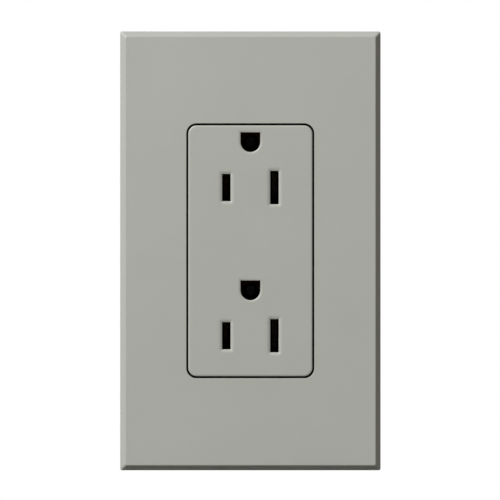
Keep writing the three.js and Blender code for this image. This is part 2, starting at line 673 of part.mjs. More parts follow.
for (const side of SIDES) {
  const { name, sign } = side;
  const finish = name === "hot" ? "brass" : "nickel";
  place(outlet, `${name}_contact_strip`, contactStrip(side), finish);
  const outwards = new THREE.Vector3(sign, 0, 0);
  for (const [level, up] of [["upper", 1], ["lower", -1]]) {
    const clamp = place(outlet, `${name}_clamp_${level}`, clampPlate(CLAMP.depth, CLAMP.height), finish);
    const inner = TERMINAL.landX + GAP;
    clamp.position.set(sign > 0 ? inner : -inner - CLAMP.thickness, TERMINAL.y, up * TERMINAL.z);
    const seat = new THREE.Vector3(sign * (inner + CLAMP.thickness + GAP), TERMINAL.y, up * TERMINAL.z);
    const frame = screwFrame(outlet, outwards, seat);
    place(frame, `${name}_screw_${level}`, screw(TERMINAL_SCREW), finish);
  }
}

for (const socket of SOCKETS) {
  place(outlet, `ground_contact_${socket.name}`, groundContact(socket), "bronze");
  place(outlet, `ground_rivet_${socket.name}`, rivet(socket.bladeZ + GROUND_RISE), "steel");
}

const lugFace = LUG.x - STRAP.thickness - GAP;
const groundClampPlate = clampPlate(GROUND_CLAMP.depth, GROUND_CLAMP.height);
const groundClamp = place(outlet, "ground_clamp", groundClampPlate, "steel");
groundClamp.position.set(lugFace - CLAMP.thickness, LUG.screwY, LUG.screwZ);
const groundSeat = new THREE.Vector3(lugFace - CLAMP.thickness - GAP, LUG.screwY, LUG.screwZ);
const groundFrame = screwFrame(outlet, new THREE.Vector3(-1, 0, 0), groundSeat);
place(groundFrame, "ground_screw", hexScrew(GROUND_SCREW), "green");

const towardsRoom = new THREE.Vector3(0, -1, 0);
const towardsBox = new THREE.Vector3(0, 1, 0);
for (const [level, up] of [["upper", 1], ["lower", -1]]) {
  const boxSeat = new THREE.Vector3(0, -STRAP.thickness - GAP, up * BOX_SCREW_Z);
  place(screwFrame(outlet, towardsRoom, boxSeat), `box_screw_${level}`, screw(BOX_SCREW), "steel");
  const plateSeat = new THREE.Vector3(0, ADAPTER.front - GAP, up * PLATE_SCREW_Z);
  const plateFrame = screwFrame(outlet, towardsRoom, plateSeat);
  place(plateFrame, `adapter_screw_${level}`, screw(ADAPTER_SCREW), "steel");
}

const { width: clipWidth, height: clipHeight, thickness: clipThickness } = GROUNDING_CLIP;
const clipLeaf = screwRetainer(clipWidth, clipHeight, clipThickness);
const groundingClip = place(outlet, "self_grounding_clip", clipLeaf, "bronze");
groundingClip.position.set(0, GAP, BOX_SCREW_Z);
for (const [level, y, z] of [
  ["upper", 2 * GAP + clipThickness, BOX_SCREW_Z],
  ["lower", GAP, -BOX_SCREW_Z],
]) {
  const washer = screwRetainer(RETAINER.width, RETAINER.width, RETAINER.thickness);
  place(outlet, `screw_retainer_${level}`, washer, "fibre").position.set(0, y, z);
}

for (const [level, z] of [["upper", ASSEMBLY_SCREW_Z[0]], ["lower", ASSEMBLY_SCREW_Z[1]]]) {
  const seat = new THREE.Vector3(0, BODY.back + 2 * GAP + STRAP.thickness, z);
  place(screwFrame(outlet, towardsBox, seat), `assembly_screw_${level}`, screw(ASSEMBLY_SCREW), "steel");
}

export default outlet;
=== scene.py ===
"""Duplex wall outlet: the finished look of every part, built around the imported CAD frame.

The frame is in metres, +Z up, with the wall surface at y = 0 and the room towards -Y. Shapes are
worked out here in millimetres, and each piece is scaled to metres once it is whole.
"""

import json
import math

import bmesh
import bpy
from mathutils import Matrix, Vector


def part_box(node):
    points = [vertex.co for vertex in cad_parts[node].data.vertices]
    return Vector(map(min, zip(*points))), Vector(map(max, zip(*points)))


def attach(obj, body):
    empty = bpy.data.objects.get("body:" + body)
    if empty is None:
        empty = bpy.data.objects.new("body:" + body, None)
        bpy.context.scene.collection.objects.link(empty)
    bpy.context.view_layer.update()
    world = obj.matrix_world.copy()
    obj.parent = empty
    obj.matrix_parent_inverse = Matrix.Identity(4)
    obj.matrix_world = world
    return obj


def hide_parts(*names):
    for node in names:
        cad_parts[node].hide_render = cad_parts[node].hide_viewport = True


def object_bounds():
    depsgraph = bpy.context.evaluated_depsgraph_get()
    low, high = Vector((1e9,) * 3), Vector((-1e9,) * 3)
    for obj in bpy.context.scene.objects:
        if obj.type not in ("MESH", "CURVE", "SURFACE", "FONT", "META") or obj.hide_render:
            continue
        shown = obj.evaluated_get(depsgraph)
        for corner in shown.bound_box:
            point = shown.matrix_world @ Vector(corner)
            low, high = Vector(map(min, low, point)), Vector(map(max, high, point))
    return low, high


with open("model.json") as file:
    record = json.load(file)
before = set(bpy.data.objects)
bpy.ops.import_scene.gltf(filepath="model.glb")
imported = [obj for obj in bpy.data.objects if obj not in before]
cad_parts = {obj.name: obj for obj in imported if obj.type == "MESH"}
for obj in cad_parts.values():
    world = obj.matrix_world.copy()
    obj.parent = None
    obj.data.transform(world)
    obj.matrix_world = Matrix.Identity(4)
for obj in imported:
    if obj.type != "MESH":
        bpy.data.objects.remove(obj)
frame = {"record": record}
cad_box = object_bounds()

MM = 0.001
RECORD = frame["record"]
BODY_OF = {node: body for body, nodes in RECORD["behaviour"]["bodies"].items() for node in nodes}

# ---------------------------------------------------------------- shared dimensions, millimetres

GAP = 0.3           # clearance that the CAD keeps between touching parts
CLOSER = 0.27       # how far each part is set towards the part it rests on
SLIP = 1.0          # how far a cutter runs past the face that it cuts
SOCKETS = {"upper": 16.7, "lower": -22.4}   # height of each socket's flat slots
SIDES = {"hot": (-1, 7.2), "neutral": (1, 8.8)}   # side of the outlet, and that slot's height
UPS = {"upper": 1, "lower": -1}
BLADE_X = 6.35
SLOT_WIDTH = 2.25
GROUND_RISE = 11.98     # from the flat slots up to the ground hole's centre
GROUND_RADIUS = 2.62
BOX_SCREW_Z = 41.65
PLATE_SCREW_Z = 48.4
SCREW_HOLE = 2.05       # radius of the holes for the box screws and the adapter screws
RIVET_HOLE = 1.55
WING_Z = 46.5           # the strap's wings, which lie on the wall
SNAP_X = 18             # the plate's catches and the adapter's tongues lie this far to each side
TERMINAL_Y, TERMINAL_Z = 10.5, 11
LAND_HOLE = 2.4         # radius of the holes that the terminal screws pass through
WIRE_OFFSET = 4.7       # from a terminal's screw to the wires on both sides of it
THREAD_PITCH = 0.794    # 32 turns to the inch
THREAD_DEPTH = 0.34
SHARP_ANGLE = math.radians(38)      # edges that bend more than this keep a crease
BEVEL_ANGLE = math.radians(32)      # and edges that bend more than this get a bevel


def span(node):
    """The lowest and highest corners of a CAD node, in millimetres."""
    low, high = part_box(node)
    return Vector(low) / MM, Vector(high) / MM


# ---------------------------------------------------------------- outlines

def along_x(a, b, depth):
    return Vector((depth, a, b))


def along_y(a, b, depth):
    return Vector((a, depth, b))


def along_z(a, b, depth):
    return Vector((a, b, depth))


def rounded_rectangle(width, height, radius, centre=(0, 0), steps=6):
    """Points round a rectangle with rounded corners, anticlockwise."""
    points = []
    for quarter, (right, top) in enumerate([(1, 1), (-1, 1), (-1, -1), (1, -1)]):
        x = centre[0] + right * (width / 2 - radius)
        y = centre[1] + top * (height / 2 - radius)
        for step in range(steps + 1):
            turn = (quarter + step / steps) * math.pi / 2
            points.append((x + radius * math.cos(turn), y + radius * math.sin(turn)))
    return points


def circle(radius, centre=(0, 0), sides=32):
    turns = [2 * math.pi * i / sides for i in range(sides)]
    return [(centre[0] + radius * math.cos(t), centre[1] + radius * math.sin(t)) for t in turns]


def ground_hole(z, grow=0.0):
    """A ground hole's outline: flat on top and half round below."""
    steps = 14
    radius = GROUND_RADIUS + grow
    arc = [math.pi + math.pi * i / steps for i in range(steps + 1)]
    below = [(radius * math.cos(t), z + radius * math.sin(t)) for t in arc]
    return below + [(radius, z + radius), (-radius, z + radius)]


def filleted(corners, steps=5, closed=False):
    """A polyline whose corners (a, b, radius) are rounded."""
    points = []
    last = len(corners) - 1
    for i, (a, b, radius) in enumerate(corners):
        here = Vector((a, b))
        if radius == 0 or (not closed and i in (0, last)):
            points.append((a, b))
            continue
        back = (Vector(corners[i - 1][:2]) - here).normalized()
        ahead = (Vector(corners[(i + 1) % len(corners)][:2]) - here).normalized()
        half = back.angle(ahead) / 2
        centre = here + (back + ahead).normalized() * radius / math.sin(half)
        start = here + back * radius / math.tan(half) - centre
        end = here + ahead * radius / math.tan(half) - centre
        sweep = math.pi - 2 * half
        for step in range(steps + 1):
            part = step / steps
            ray = start * math.sin((1 - part) * sweep) + end * math.sin(part * sweep)
            points.append(tuple(centre + ray / math.sin(sweep)))
    return points


# ---------------------------------------------------------------- solids

def solid(rings, loop=False):
    """A closed skin over rings of points: capped at both ends, or joined end to end as a loop."""
    count = len(rings[0])
    faces = []
    for r in range(len(rings) if loop else len(rings) - 1):
        here = r * count
        there = (r + 1) % len(rings) * count
        for i in range(count):
            j = (i + 1) % count
            faces.append((here + i, here + j, there + j, there + i))
    if not loop:
        faces.append(tuple(reversed(range(count))))
        faces.append(tuple(range(count * (len(rings) - 1), count * len(rings))))
    mesh = bpy.data.meshes.new("part")
    mesh.from_pydata([p for ring in rings for p in ring], [], faces)
    outward = bmesh.new()
    outward.from_mesh(mesh)
    bmesh.ops.recalc_face_normals(outward, faces=outward.faces)
    outward.to_mesh(mesh)
    outward.free()
    piece = bpy.data.objects.new("part", mesh)
    bpy.context.scene.collection.objects.link(piece)
    return piece


def prism(outline, low, high, place):
    return solid([[place(a, b, depth) for a, b in outline] for depth in (low, high)])


def tapered(outlines, depths, place):
    """A solid over outlines of equal point count, one at each depth."""
    return solid([[place(a, b, depth) for a, b in line] for line, depth in zip(outlines, depths)])


def block(x, y, z):
    """A box from three (low, high) pairs, in either order."""
    outline = [(x[0], z[0]), (x[1], z[0]), (x[1], z[1]), (x[0], z[1])]
    return prism(outline, y[0], y[1], along_y)


def rod(radius, low, high, centre, place, sides=32):
    return prism(circle(radius, centre, sides), low, high, place)


def ribbon(path, thickness, low, high, place):
    """A bent sheet whose middle follows a path, with its width from low to high."""
    rings = []
    points = [Vector(p) for p in path]
    for i, point in enumerate(points):
        into = (point - points[i - 1]).normalized() if i else (points[1] - point).normalized()
        out = (points[i + 1] - point).normalized() if i + 1 < len(points) else into
        along = (into + out).normalized()
        side = Vector((-along.y, along.x)) * thickness / 2 / along.dot(into)
        left, right = point + side, point - side
        rings.append([place(*left, low), place(*left, high), place(*right, high), place(*right, low)])
    return solid(rings)


def combine(base, tools, operation):
    """base with every tool added to it (UNION), cut from it (DIFFERENCE) or kept in (INTERSECT)."""
    for tool in tools:
        change = base.modifiers.new("combine", "BOOLEAN")
        change.operation = operation
        change.solver = "EXACT"
        change.object = tool
    graph = bpy.context.evaluated_depsgraph_get()
    made = bpy.data.meshes.new_from_object(base.evaluated_get(graph))
    base.modifiers.clear()
    base.data = made
    for tool in tools:
        bpy.data.objects.remove(tool)
    return base


def add(base, *tools):
    return combine(base, tools, "UNION")


def cut(base, *tools):
    return combine(base, tools, "DIFFERENCE")


def cleaned(piece):
    """Merges the specks that cutting leaves, and joins faces that lie in one plane."""
    work = bmesh.new()
    work.from_mesh(piece.data)
    bmesh.ops.remove_doubles(work, verts=work.verts, dist=0.004)
    bmesh.ops.dissolve_limit(work, angle_limit=math.radians(0.4), verts=work.verts, edges=work.edges)
    work.to_mesh(piece.data)
    work.free()
    return piece


def moved(piece, position, facing=None):
    """The piece with its own +Y turned to face a direction, and its origin put at a position."""
    turn = Matrix.Identity(4)
    if facing:
        turn = Vector((0, 1, 0)).rotation_difference(Vector(facing)).to_matrix().to_4x4()
    piece.data.transform(Matrix.Translation(position) @ turn)
    return piece


def stand_in(node, piece, material, edge=0.0, segments=2):
    """Finishes a piece in metres, gives it its material, and puts it in place of its CAD node."""
    cleaned(piece)
    piece.name = f"{node}_fine"
    piece.data.name = piece.name
    piece.data.transform(Matrix.Scale(MM, 4))
    piece.data.shade_smooth()
    piece.data.set_sharp_from_angle(angle=SHARP_ANGLE)
    if edge:
        bevel = piece.modifiers.new("edges", "BEVEL")
        bevel.width = edge * MM
        bevel.segments = segments
        bevel.limit_method = "ANGLE"
        bevel.angle_limit = BEVEL_ANGLE
        bevel.use_clamp_overlap = False
    normals = piece.modifiers.new("normals", "WEIGHTED_NORMAL")
    normals.keep_sharp = True
    piece.data.materials.clear()
    piece.data.materials.append(material)
    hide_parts(node)
    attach(piece, BODY_OF[node])
    return piece


# ---------------------------------------------------------------- material nodes

MIX_FACTOR, MIX_A, MIX_B, MIX_RESULT = 0, 6, 7, 2   # a Mix node's sockets when it mixes colours


class Recipe:
    """A Principled material, with short ways to add procedural detail to it."""

    def __init__(self, name, roughness, metallic=0.0):
        self.made = bpy.data.materials.new(name)
        self.made.use_nodes = True
        self.tree = self.made.node_tree
        self.shader = self.tree.nodes["Principled BSDF"]
        self.shader.inputs["Roughness"].default_value = roughness
        self.shader.inputs["Metallic"].default_value = metallic
        self.place = self.node("ShaderNodeTexCoord").outputs["Object"]

    def node(self, kind, inputs=None, **settings):
        made = self.tree.nodes.new(kind)
        for key, value in settings.items():
            setattr(made, key, value)
        for key, value in (inputs or {}).items():
            if isinstance(value, bpy.types.NodeSocket):
                self.tree.links.new(value, made.inputs[key])
            else:
                made.inputs[key].default_value = value
        return made

    def noise(self, size, detail=2.0, stretch=(1, 1, 1)):
        """Noise from 0 to 1 with features of a size in millimetres, stretched along the axes."""
        scale = [1 / (size * MM * s) for s in stretch]
        spot = self.node("ShaderNodeMapping", {"Vector": self.place, "Scale": scale})
        inputs = {"Vector": spot.outputs["Vector"], "Scale": 1.0, "Detail": detail}
        return self.node("ShaderNodeTexNoise", inputs).outputs["Fac"]

    def cells(self, size):
        """A random grey for each crystal of a size in millimetres."""
        inputs = {"Vector": self.place, "Scale": 1 / (size * MM)}
        colour = self.node("ShaderNodeTexVoronoi", inputs).outputs["Color"]
        return self.node("ShaderNodeSeparateColor", {"Color": colour}).outputs["Red"]

    def edges(self, radius):
        """1 on convex and concave edges within a radius in millimetres, and 0 on flat faces."""
        true = self.node("ShaderNodeNewGeometry").outputs["Normal"]
        inputs = {"Radius": radius * MM}
        round_ = self.node("ShaderNodeBevel", inputs, samples=4).outputs["Normal"]
        dot = self.node("ShaderNodeVectorMath", {0: true, 1: round_}, operation="DOT_PRODUCT")
        return self.band(dot.outputs["Value"], 0.995, 0.9)

    def hollow_shade_mask(self, reach, wide, narrow, alone=False):
        """0 where a wide share of the room within a reach in millimetres is open, and 1 where a narrow
        share is. Only the part's own walls close it when it counts alone."""
        samples = 8 if alone else 32
        inputs = {"Distance": reach * MM}
        # An ambient-occlusion mask: the materials use it to paint shade into the colour of hollow places.
        seen = self.node("ShaderNodeAmbientOcclusion", inputs, samples=samples, only_local=alone)
        return self.band(seen.outputs["AO"], wide, narrow)

    def band(self, value, start, end, low=0.0, high=1.0):
        """Maps a value from start..end to low..high, and holds it there."""
        inputs = {"Value": value, "From Min": start, "From Max": end, "To Min": low, "To Max": high}
        return self.node("ShaderNodeMapRange", inputs).outputs["Result"]

    def times(self, a, b):
        return self.node("ShaderNodeMath", {0: a, 1: b}, operation="MULTIPLY").outputs["Value"]

    def mix(self, factor, a, b):
        """The colour a where factor is 0 and b where it is 1."""
        made = self.node("ShaderNodeMix", data_type="RGBA")
        for key, value in ((MIX_FACTOR, factor), (MIX_A, a), (MIX_B, b)):
            if isinstance(value, bpy.types.NodeSocket):
                self.tree.links.new(value, made.inputs[key])
            else:
                made.inputs[key].default_value = (*value, 1)
        return made.outputs[MIX_RESULT]

    def finish(self, colour, roughness, *bumps):
        """Links the colour and roughness, and stacks (height, depth in millimetres) as bump."""
        self.tree.links.new(colour, self.shader.inputs["Base Color"])
        self.tree.links.new(roughness, self.shader.inputs["Roughness"])
        normal = None
        for height, depth in bumps:
            inputs = {"Height": height, "Distance": depth * MM, "Strength": 1.0}
            if normal:
                inputs["Normal"] = normal
            normal = self.node("ShaderNodeBump", inputs).outputs["Normal"]
        if normal:
            self.tree.links.new(normal, self.shader.inputs["Normal"])
        return self.made


def shade(colour, factor):
    return tuple(min(1.0, c * factor) for c in colour)


def moulded_plastic(name, colour, roughness, grain=0.006, wear=1.12, alone=True):
    """Fine spark-eroded texture, faint flow marks, edges rubbed lighter, and painted shade in deep hollow
    places.

    The painted shade darkens where the part's own walls close a hollow when alone is true, and where
    other parts close it too if not.
    """
    recipe = Recipe(name, roughness)
    flow = recipe.mix(recipe.noise(14, 3), shade(colour, 0.975), shade(colour, 1.025))
    speckle = recipe.band(recipe.noise(0.22, 2), 0.35, 0.65)
    tinted = recipe.mix(recipe.times(speckle, 0.06), flow, shade(colour, 0.7))
    rubbed = recipe.times(recipe.edges(0.35), recipe.noise(2.5, 3))
    worn = recipe.mix(rubbed, tinted, shade(colour, wear))
    # Painted shade: deep hollow places are darkened in the colour, where real shade would fall.
    painted_hollow_shade = recipe.mix(recipe.hollow_shade_mask(4, 0.42, 0.12, alone), worn, shade(colour, 0.04))
    smears = recipe.band(recipe.noise(5, 4, (3, 1, 1)), 0.3, 0.7, roughness - 0.05, roughness + 0.06)
    bumps = [(recipe.noise(0.16, 2), grain), (recipe.noise(1.1, 2), grain * 0.6)]
    return recipe.finish(painted_hollow_shade, smears, *bumps)


def zinc_plate(name, colour, tint=None):
    """Bright zinc over rolled steel: soft crystals, drawing lines, scuffs, dull patches, and painted
    shade that darkens hollow places.
    """
    recipe = Recipe(name, 0.35, 1.0)
    crystals = recipe.mix(recipe.cells(1.6), shade(colour, 0.86), shade(colour, 1.1))
    dull = recipe.band(recipe.noise(6, 4), 0.45, 0.75)
    tone = recipe.mix(recipe.times(dull, 0.5), crystals, shade(colour, 0.62))
    lines = recipe.noise(0.5, 3, (0.25, 0.25, 6))
    if tint:
        rubbed = recipe.times(recipe.edges(0.25), recipe.band(recipe.noise(0.8, 3), 0.35, 0.6))
        tone = recipe.mix(rubbed, tone, tint)
    # Painted shade: hollow places, and places closed in by other parts or the floor, are darkened in the
    # colour.
    painted_hollow_shade = recipe.mix(recipe.hollow_shade_mask(60, 0.2, 0.05), tone, shade(colour, 0.08))
    gloss = recipe.band(recipe.noise(1.8, 4), 0.3, 0.7, 0.26, 0.5)
    return recipe.finish(painted_hollow_shade, gloss, (lines, 0.006), (recipe.noise(0.3, 2), 0.004))


def strip_metal(name, colour, tarnish_and_shade):
    """Drawn strip: fine grain along it, tarnished patches at random, and painted shade that turns hollow
    places nearly black.
    """
    recipe = Recipe(name, 0.3, 1.0)
    patches = recipe.band(recipe.noise(3.5, 2), 0.4, 0.7)
    tone = recipe.mix(recipe.times(patches, 0.22), colour, tarnish_and_shade)
    grain = recipe.noise(0.35, 3, (0.3, 8, 0.3))
    streaked = recipe.mix(recipe.times(grain, 0.25), tone, shade(colour, 0.7))
    # Painted shade: hollow places, such as the contacts' throats behind the slots, are darkened in the
    # colour from a much darker copy of the tarnished colour.
    painted_dark_hollows = recipe.mix(recipe.hollow_shade_mask(60, 0.25, 0.08), streaked, shade(tarnish_and_shade, 0.08))
    gloss = recipe.band(recipe.noise(1.2, 2), 0.3, 0.7, 0.26, 0.4)
    return recipe.finish(painted_dark_hollows, gloss, (grain, 0.004))


def pressed_fibre(name, colour):
    """Vulcanised fibre: matted strands, flecks and a fuzzy surface."""
    recipe = Recipe(name, 0.8)
    strands = recipe.noise(0.5, 5, (5, 1, 1))
    flecks = recipe.band(recipe.noise(0.3, 2, (1, 1, 4)), 0.6, 0.72)
    body = recipe.mix(strands, shade(colour, 0.72), shade(colour, 1.2))
    speckled = recipe.mix(recipe.times(flecks, 0.5), body, shade(colour, 0.4))
    rough = recipe.band(recipe.noise(0.6, 3), 0.3, 0.7, 0.72, 0.9)
    return recipe.finish(speckled, rough, (strands, 0.03), (recipe.noise(0.12, 2), 0.012))


GREY = (0.405, 0.412, 0.376)
# The plastics and metals below paint shade into their hollow places; the face's painted shade also counts
# the parts round it.
MATERIALS = {
    "plate": moulded_plastic("plate_plastic", GREY, 0.5),
    "face": moulded_plastic("face_plastic", GREY, 0.48, alone=False),
    "adapter": moulded_plastic("adapter_plastic", (0.022, 0.022, 0.023), 0.5, wear=1.8),
    "housing": moulded_plastic("housing_plastic", (0.03, 0.031, 0.033), 0.46, 0.01, wear=1.7),
    "steel": zinc_plate("zinc_plated_steel", (0.56, 0.57, 0.59)),
    "green": zinc_plate("green_zinc", (0.03, 0.22, 0.07), tint=(0.45, 0.46, 0.46)),
    "brass": strip_metal("drawn_brass", (0.72, 0.47, 0.15), (0.32, 0.17, 0.05)),
    "nickel": strip_metal("nickel_plate", (0.62, 0.6, 0.54), (0.4, 0.37, 0.3)),
    "bronze": strip_metal("phosphor_bronze", (0.66, 0.33, 0.14), (0.25, 0.1, 0.05)),
    "fibre": pressed_fibre("pressed_fibre", (0.42, 0.27, 0.13)),
}

# ---------------------------------------------------------------- wall plate and adapter


def frame_loft(outer, window, corner, window_corner, profile):
    """A rectangular frame swept round a window from a closed profile.

    The profile's points are (distance in from the outer edge, y), where the window's edge lies
    at half the difference of the two widths.
    """
    across = (outer[0] - window[0]) / 2
    rings = []
    for inset, y in profile:
        if inset < across / 2:
            size, radius = (outer[0] - 2 * inset, outer[1] - 2 * inset), corner
        else:
            out = across - inset
            size, radius = (window[0] + 2 * out, window[1] + 2 * out), window_corner + out
        rings.append([along_y(x, z, y) for x, z in rounded_rectangle(*size, radius, steps=8)])
    return solid(rings, loop=True)


WINDOW = (33.75, 67.25)     # width and height
WINDOW_CORNER = 2.65
PLATE_WALL = 2.0
PLATE_BEVEL = 1.32
PLATE_INNER_Y = -5.4        # the back of the plate's front wall
COLLAR = 1.2                # wall round the window, behind the front
COLLAR_BACK = -3.6
RIB_BACK = -3.4
ROOT = 0.5                  # how far a catch or rib runs into the wall that it stands on
CATCH_HALF = 4              # half the width of a snap catch


def plate_catches(wall_z):
    """Four snap catches on the top and bottom walls, each between two ribs."""
    ramp = [(-2.6, ROOT), (-2.6, -0.1), (-2.2, -0.8), (-1.5, -0.8), (-1.0, -0.1), (-1.0, ROOT)]
    rib_offset = CATCH_HALF + 1.6
    rib_y = (PLATE_INNER_Y - ROOT, RIB_BACK)
    fittings = []
    for up in UPS.values():
        outline = [(y, up * (wall_z + z)) for y, z in ramp]
        rib_z = (up * (wall_z - 1.6), up * (wall_z + ROOT))
        for x in (-SNAP_X, SNAP_X):
            fittings.append(prism(outline, x - CATCH_HALF, x + CATCH_HALF, along_x))
            for rib_x in (x - rib_offset, x + rib_offset):
                fittings.append(block((rib_x - 0.4, rib_x + 0.4), rib_y, rib_z))
    return fittings


def plate_ribs(wall_x):
    """Short ribs that stiffen the two long walls."""
    ribs = []
    for side in (-1, 1):
        reach = (side * (wall_x - 3), side * (wall_x + ROOT))
        for z in (-36, -12, 12, 36):
            ribs.append(block(reach, (PLATE_INNER_Y - ROOT, RIB_BACK - 0.1), (z - 0.45, z + 0.45)))
    return ribs


def wall_plate():
    low, high = span("wall_plate")
    width, height = high.x - low.x, high.z - low.z
    edge = (width - WINDOW[0]) / 2
    profile = filleted([
        (0, high.y, 0.25),
        (0, low.y + PLATE_BEVEL, 0.3),
        (PLATE_BEVEL, low.y, 0.5),
        (edge, low.y, 0.12),
        (edge, COLLAR_BACK, 0.2),
        (edge - COLLAR, COLLAR_BACK, 0.2),
        (edge - COLLAR, PLATE_INNER_Y, 0.4),
        (PLATE_WALL, PLATE_INNER_Y, 0.4),
        (PLATE_WALL, high.y, 0.2),
    ], closed=True)
    plate = frame_loft((width, height), WINDOW, 0.5, WINDOW_CORNER, profile)
    fittings = plate_catches(height / 2 - PLATE_WALL) + plate_ribs(width / 2 - PLATE_WALL)
    stand_in("wall_plate", add(plate, *fittings), MATERIALS["plate"])


ADAPTER_FRONT = -3.1
ADAPTER_BACK = -1.5         # the back of its thin middle, inside the rim
ADAPTER_RIM = 1.4
ADAPTER_PLAY = 2.1          # how much larger than the plate's window its own window is


def adapter_profile(edge, low_y, high_y):
    """The frame's section: a rim behind, and a ridge round the window in front."""
    ridge = (edge - 1.65, edge - 0.45)
    return filleted([
        (0, high_y, 0.15),
        (0, ADAPTER_FRONT, 0.35),
        (ridge[0], ADAPTER_FRONT, 0.25),
        (ridge[0], low_y, 0.2),
        (ridge[1], low_y, 0.2),
        (ridge[1], ADAPTER_FRONT, 0.15),
        (edge, ADAPTER_FRONT, 0.15),
        (edge, ADAPTER_BACK, 0.15),
        (ADAPTER_RIM, ADAPTER_BACK, 0.25),
        (ADAPTER_RIM, high_y, 0.15),
    ], steps=3, closed=True)


def snap_reliefs(edge_z, up):
    """A recess for each catch in the adapter's edge, between two slits that let it spring."""
    half, slit_offset = CATCH_HALF + 0.5, CATCH_HALF + 0.9
    through = (-6, SLIP)
    tools = []
    for x in (-SNAP_X, SNAP_X):
        tools.append(block((x - half, x + half), through, (edge_z - up * 0.7, edge_z + up)))
        for slit_x in (x - slit_offset, x + slit_offset):
            outline = rounded_rectangle(0.8, 5.0, 0.35, (slit_x, edge_z - up))
            tools.append(prism(outline, *through, along_y))
    return tools


def lightening_pockets():
    """Shallow pockets in the adapter's front."""
    places = [(5.5, 9, x, up * 45) for up in UPS.values() for x in (-24, -11.5, 11.5, 24)]
    places += [(3.6, 17, side * 25.6, z) for side in (-1, 1) for z in (-24, 0, 24)]
    tools = []
    for width, height, x, z in places:
        outline = rounded_rectangle(width, height, 0.8, (x, z))
        tools.append(prism(outline, ADAPTER_FRONT - SLIP, ADAPTER_FRONT + 0.55, along_y))
    return tools


def plate_adapter():
    low, high = span("plate_adapter")
    width, height = high.x - low.x, high.z - low.z
    window = [size + ADAPTER_PLAY for size in WINDOW]
    profile = adapter_profile((width - window[0]) / 2, low.y, high.y)
    adapter = frame_loft((width, height), window, 0.6, WINDOW_CORNER, profile)
    seats = []
    tools = lightening_pockets()
    for up in UPS.values():
        head_way = rounded_rectangle(10.4, 15.4, 1.2, (0, up * 37.7))
        tools.append(prism(head_way, low.y - SLIP, SLIP, along_y))
        seats.append(rod(4.6, -2.0, -0.9, (0, up * (PLATE_SCREW_Z + 1.6)), along_y))
        tools.append(rod(SCREW_HOLE, low.y - SLIP, SLIP, (0, up * PLATE_SCREW_Z), along_y))
        tools += snap_reliefs(up * height / 2, up)
    stand_in("plate_adapter", cut(add(adapter, *seats), *tools), MATERIALS["adapter"])


# ---------------------------------------------------------------- receptacle body

FACE = (32.75, 66.2)    # width and height of the block that stands in the plate's window
FACE_CORNER = 2.2
BODY_HEIGHT = 66.9      # a hair less than the room inside the strap
BODY_BACK = 22.25
BODY_CORNER = 1.6
POCKET_X = 14.7         # inner end of the terminal pockets
POCKET_Y = (3.5, 18.1)
POCKET_Z = (3.4, 19)    # of the upper pockets, which the lower ones mirror
TAB_WINDOW = ((6.5, 13.5), (-4.4, 4.4))     # y and z of the opening between the pockets
ROOM_Z = 31.4           # half the height of the room for the contacts
BOSS = 3.2              # radius of the posts round the assembly screws, and of their bores
BORE = 1.8
SHOULDER_Y = 0.4        # front of the wide part of the body
SEAM_Y = 6.15           # the face cover and the rear housing meet here, on a fine V groove
BOSS_Z = (8.5, -29.5)


def side_pockets():
    """The terminal pockets in both sides, with the window for the break-off tab between them."""
    low_z, high_z = POCKET_Z
    tools = []
    for side in (-1, 1):
        x = (side * POCKET_X, side * 23)
        tools += [block(x, POCKET_Y, (up * low_z, up * high_z)) for up in UPS.values()]
        tools.append(block(x, *TAB_WINDOW))
    return tools


def interior(front, back):
    """The room for the contacts, which keeps clear of the side pockets."""
    depth = (front, back)
    ends_z = POCKET_Z[1] + 1.6
    middle = block((-13.3, 13.3), depth, (-ROOM_Z, ROOM_Z))
    ends = [block((-19.2, 19.2), depth, (up * ends_z, up * ROOM_Z)) for up in UPS.values()]
    return add(middle, *ends)


def lead_in(front, reach, dip, back, steps=6):
    """A dished way into a hole, as (depth, growth of the outline): flat outside and steep inside."""
    parts = [step / steps for step in range(1, steps + 1)]
    curve = [(front + dip * part ** 2, reach * (1 - part)) for part in parts]
    return [(front - 0.1, reach), (front + dip * 0.002, reach * 0.99), *curve, (back, 0)]


def slot_cutters(front):
    """The flat slots and ground holes, each with its dished way in."""
    tools = []
    slot_depths, slot_grows = zip(*lead_in(front, 1.0, 0.26, SLIP))
    ground_depths, ground_grows = zip(*lead_in(front, 0.7, 0.16, 2 * SLIP, 5))
    for z in SOCKETS.values():
        for side, height in SIDES.values():
            lines = []
            for grow in slot_grows:
                size = (SLOT_WIDTH + 2 * grow, height + 2 * grow)
                lines.append(rounded_rectangle(*size, 0.1 + 0.9 * grow, (side * BLADE_X, z), 5))
            tools.append(tapered(lines, slot_depths, along_y))
        lines = [ground_hole(z + GROUND_RISE, grow) for grow in ground_grows]
        tools.append(tapered(lines, ground_depths, along_y))
    return tools


def face_block(front, body_width):
    """The cover's outside: the softly domed face, the ledge behind the plate, and the wide body."""
    width, height = FACE
    ledge = 0.9
    rings = []
    for inset, drop in ((0.6, 0), (0.42, 0.01), (0.26, 0.04), (0.13, 0.085), (0.05, 0.14), (0, 0.24)):
        rings.append((front + drop, width - 2 * inset, height - 2 * inset, FACE_CORNER - inset))
    for y, out in ((-3.3, 0), (-3.3, ledge - 0.15), (-3.15, ledge), (-1.5, ledge), (-1.5, 0)):
        rings.append((y, width + 2 * out, height + 2 * out, FACE_CORNER + out))
    rings += [
        (SHOULDER_Y, width, height, FACE_CORNER),
        (SHOULDER_Y, body_width - 0.6, BODY_HEIGHT, 1.4),
        (SHOULDER_Y + 0.3, body_width, BODY_HEIGHT, BODY_CORNER),
        (SEAM_Y - 0.2, body_width, BODY_HEIGHT, BODY_CORNER),
        (SEAM_Y, body_width - 0.3, BODY_HEIGHT - 0.3, 1.5),
    ]
    return solid([[along_y(x, z, y) for x, z in rounded_rectangle(w, h, r)] for y, w, h, r in rings])


